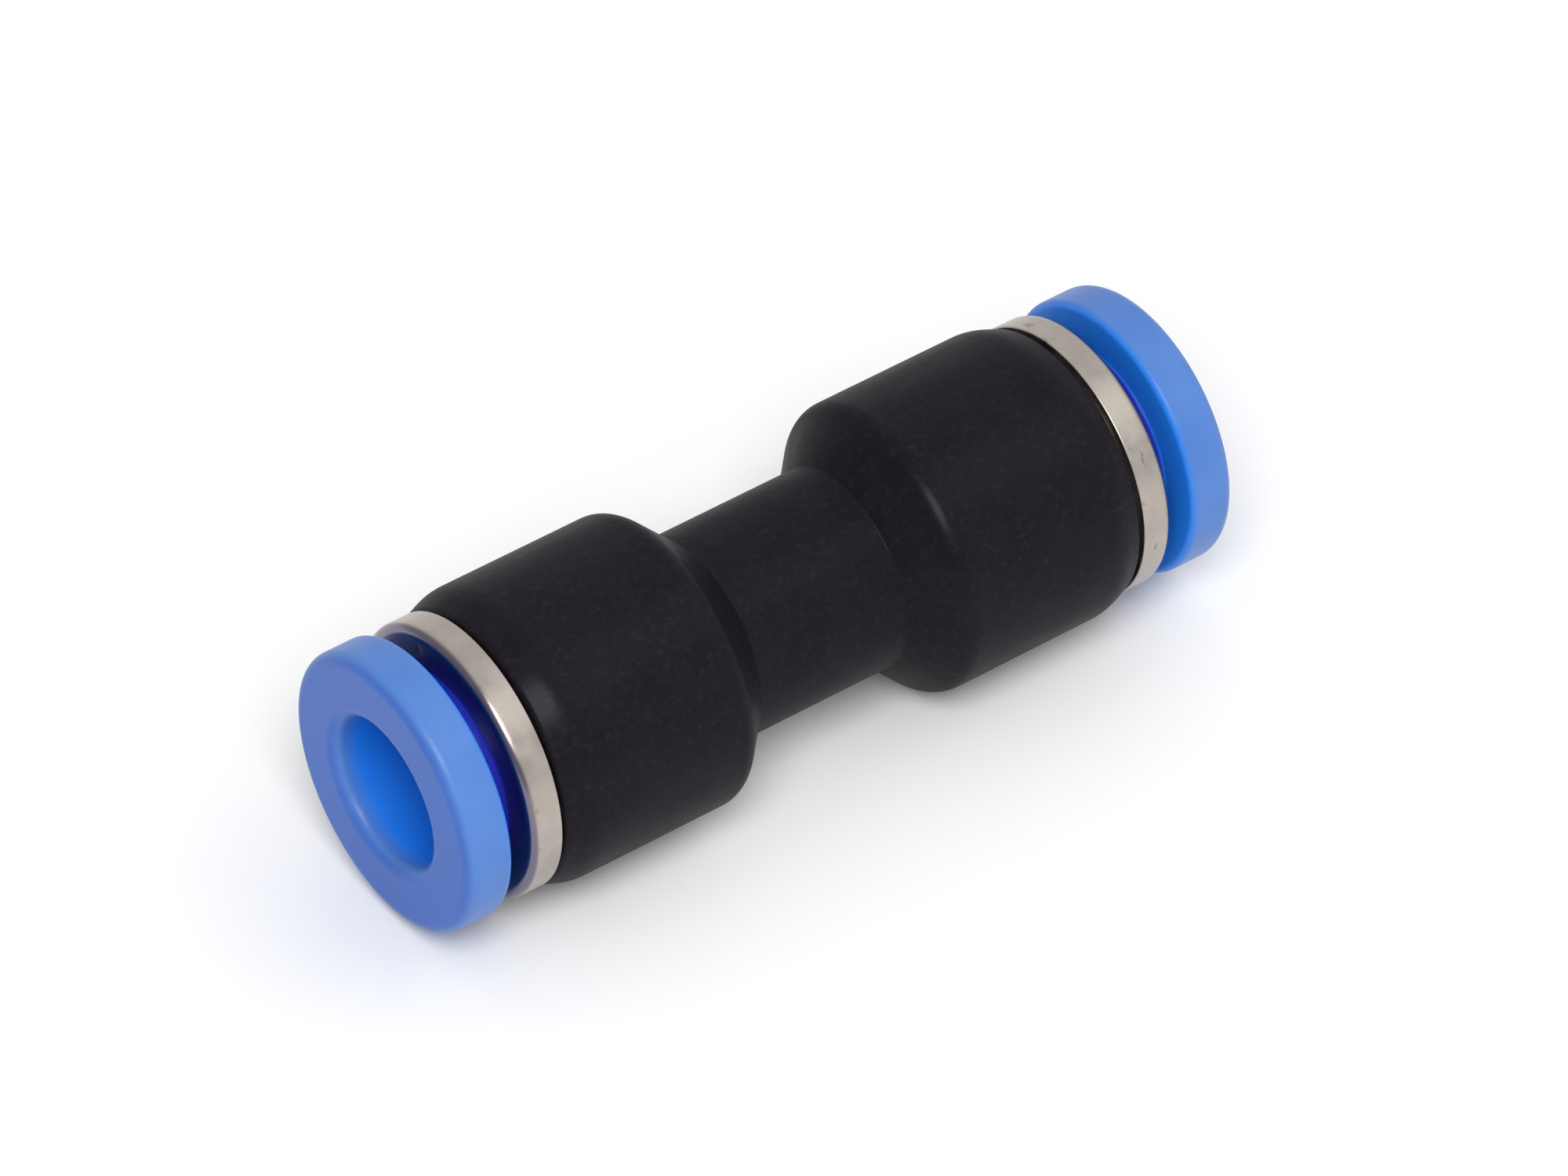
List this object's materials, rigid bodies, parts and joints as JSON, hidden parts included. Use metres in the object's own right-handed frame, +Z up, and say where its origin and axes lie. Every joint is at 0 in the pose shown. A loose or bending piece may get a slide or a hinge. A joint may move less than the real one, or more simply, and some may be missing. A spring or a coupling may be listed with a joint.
{
  "type": "push-in tube coupling",
  "caption": "Straight push-in tube coupling with a waisted black body, metal guide rings and blue release collars that are pressed in to free the tubes.",
  "frame": {"origin": "centre of the coupling, on the tube axis", "axes": "+X along the tube axis towards the right-hand socket, +Z up with the coupling lying on its side"},
  "size_m": [0.0356, 0.012, 0.012],
  "materials": {
    "body_plastic": "moulded black PBT, satin",
    "collar_plastic": "moulded blue acetal",
    "plated_brass": "turned brass, nickel plated, satin",
    "spring_steel": "stamped stainless spring steel",
    "backing_plastic": "natural acetal",
    "seal_rubber": "nitrile rubber"
  },
  "bodies": {
    "housing": {"body": "body_plastic", "tube_seal_right": "seal_rubber", "backing_ring_right": "backing_plastic", "lock_claw_rim_right": "spring_steel", "guide_ring_right": "plated_brass", "tube_seal_left": "seal_rubber", "backing_ring_left": "backing_plastic", "lock_claw_rim_left": "spring_steel", "guide_ring_left": "plated_brass"},
    "collar_right": {"release_collar_right": "collar_plastic"},
    "tongue_right_1": {"lock_claw_tongue_right_1": "spring_steel"},
    "tongue_right_2": {"lock_claw_tongue_right_2": "spring_steel"},
    "tongue_right_3": {"lock_claw_tongue_right_3": "spring_steel"},
    "tongue_right_4": {"lock_claw_tongue_right_4": "spring_steel"},
    "tongue_right_5": {"lock_claw_tongue_right_5": "spring_steel"},
    "tongue_right_6": {"lock_claw_tongue_right_6": "spring_steel"},
    "tongue_right_7": {"lock_claw_tongue_right_7": "spring_steel"},
    "tongue_right_8": {"lock_claw_tongue_right_8": "spring_steel"},
    "collar_left": {"release_collar_left": "collar_plastic"},
    "tongue_left_1": {"lock_claw_tongue_left_1": "spring_steel"},
    "tongue_left_2": {"lock_claw_tongue_left_2": "spring_steel"},
    "tongue_left_3": {"lock_claw_tongue_left_3": "spring_steel"},
    "tongue_left_4": {"lock_claw_tongue_left_4": "spring_steel"},
    "tongue_left_5": {"lock_claw_tongue_left_5": "spring_steel"},
    "tongue_left_6": {"lock_claw_tongue_left_6": "spring_steel"},
    "tongue_left_7": {"lock_claw_tongue_left_7": "spring_steel"},
    "tongue_left_8": {"lock_claw_tongue_left_8": "spring_steel"}
  },
  "joints": [
    {"name": "press_collar_right", "type": "slide", "parent": "housing", "child": "collar_right", "axis": [-1, 0, 0], "range_m": [0, 0.0007], "stiffness_N_per_m": 5000},
    {"name": "flex_tongue_right_1", "type": "hinge", "parent": "housing", "child": "tongue_right_1", "pos_m": [0.00979, 0, 0.0044], "axis": [0, 1, 0], "range_deg": [0, 15]},
    {"name": "flex_tongue_right_2", "type": "hinge", "parent": "housing", "child": "tongue_right_2", "pos_m": [0.00979, -0.00311, 0.00311], "axis": [0, 0.7071, 0.7071], "range_deg": [0, 15]},
    {"name": "flex_tongue_right_3", "type": "hinge", "parent": "housing", "child": "tongue_right_3", "pos_m": [0.00979, -0.0044, 0], "axis": [0, 0, 1], "range_deg": [0, 15]},
    {"name": "flex_tongue_right_4", "type": "hinge", "parent": "housing", "child": "tongue_right_4", "pos_m": [0.00979, -0.00311, -0.00311], "axis": [0, -0.7071, 0.7071], "range_deg": [0, 15]},
    {"name": "flex_tongue_right_5", "type": "hinge", "parent": "housing", "child": "tongue_right_5", "pos_m": [0.00979, 0, -0.0044], "axis": [0, -1, 0], "range_deg": [0, 15]},
    {"name": "flex_tongue_right_6", "type": "hinge", "parent": "housing", "child": "tongue_right_6", "pos_m": [0.00979, 0.00311, -0.00311], "axis": [0, -0.7071, -0.7071], "range_deg": [0, 15]},
    {"name": "flex_tongue_right_7", "type": "hinge", "parent": "housing", "child": "tongue_right_7", "pos_m": [0.00979, 0.0044, 0], "axis": [0, 0, -1], "range_deg": [0, 15]},
    {"name": "flex_tongue_right_8", "type": "hinge", "parent": "housing", "child": "tongue_right_8", "pos_m": [0.00979, 0.00311, 0.00311], "axis": [0, 0.7071, -0.7071], "range_deg": [0, 15]},
    {"name": "press_collar_left", "type": "slide", "parent": "housing", "child": "collar_left", "axis": [1, 0, 0], "range_m": [0, 0.0007], "stiffness_N_per_m": 5000},
    {"name": "flex_tongue_left_1", "type": "hinge", "parent": "housing", "child": "tongue_left_1", "pos_m": [-0.00979, 0, 0.0044], "axis": [0, -1, 0], "range_deg": [0, 15]},
    {"name": "flex_tongue_left_2", "type": "hinge", "parent": "housing", "child": "tongue_left_2", "pos_m": [-0.00979, -0.00311, 0.00311], "axis": [0, -0.7071, -0.7071], "range_deg": [0, 15]},
    {"name": "flex_tongue_left_3", "type": "hinge", "parent": "housing", "child": "tongue_left_3", "pos_m": [-0.00979, -0.0044, 0], "axis": [0, 0, -1], "range_deg": [0, 15]},
    {"name": "flex_tongue_left_4", "type": "hinge", "parent": "housing", "child": "tongue_left_4", "pos_m": [-0.00979, -0.00311, -0.00311], "axis": [0, 0.7071, -0.7071], "range_deg": [0, 15]},
    {"name": "flex_tongue_left_5", "type": "hinge", "parent": "housing", "child": "tongue_left_5", "pos_m": [-0.00979, 0, -0.0044], "axis": [0, 1, 0], "range_deg": [0, 15]},
    {"name": "flex_tongue_left_6", "type": "hinge", "parent": "housing", "child": "tongue_left_6", "pos_m": [-0.00979, 0.00311, -0.00311], "axis": [0, 0.7071, 0.7071], "range_deg": [0, 15]},
    {"name": "flex_tongue_left_7", "type": "hinge", "parent": "housing", "child": "tongue_left_7", "pos_m": [-0.00979, 0.0044, 0], "axis": [0, 0, 1], "range_deg": [0, 15]},
    {"name": "flex_tongue_left_8", "type": "hinge", "parent": "housing", "child": "tongue_left_8", "pos_m": [-0.00979, 0.00311, 0.00311], "axis": [0, -0.7071, 0.7071], "range_deg": [0, 15]}
  ],
  "couplings": [
    {"joint": "flex_tongue_right_1", "follows": "press_collar_right", "rad_per_m": 373.9},
    {"joint": "flex_tongue_right_2", "follows": "press_collar_right", "rad_per_m": 373.9},
    {"joint": "flex_tongue_right_3", "follows": "press_collar_right", "rad_per_m": 373.9},
    {"joint": "flex_tongue_right_4", "follows": "press_collar_right", "rad_per_m": 373.9},
    {"joint": "flex_tongue_right_5", "follows": "press_collar_right", "rad_per_m": 373.9},
    {"joint": "flex_tongue_right_6", "follows": "press_collar_right", "rad_per_m": 373.9},
    {"joint": "flex_tongue_right_7", "follows": "press_collar_right", "rad_per_m": 373.9},
    {"joint": "flex_tongue_right_8", "follows": "press_collar_right", "rad_per_m": 373.9},
    {"joint": "flex_tongue_left_1", "follows": "press_collar_left", "rad_per_m": 373.9},
    {"joint": "flex_tongue_left_2", "follows": "press_collar_left", "rad_per_m": 373.9},
    {"joint": "flex_tongue_left_3", "follows": "press_collar_left", "rad_per_m": 373.9},
    {"joint": "flex_tongue_left_4", "follows": "press_collar_left", "rad_per_m": 373.9},
    {"joint": "flex_tongue_left_5", "follows": "press_collar_left", "rad_per_m": 373.9},
    {"joint": "flex_tongue_left_6", "follows": "press_collar_left", "rad_per_m": 373.9},
    {"joint": "flex_tongue_left_7", "follows": "press_collar_left", "rad_per_m": 373.9},
    {"joint": "flex_tongue_left_8", "follows": "press_collar_left", "rad_per_m": 373.9}
  ]
}
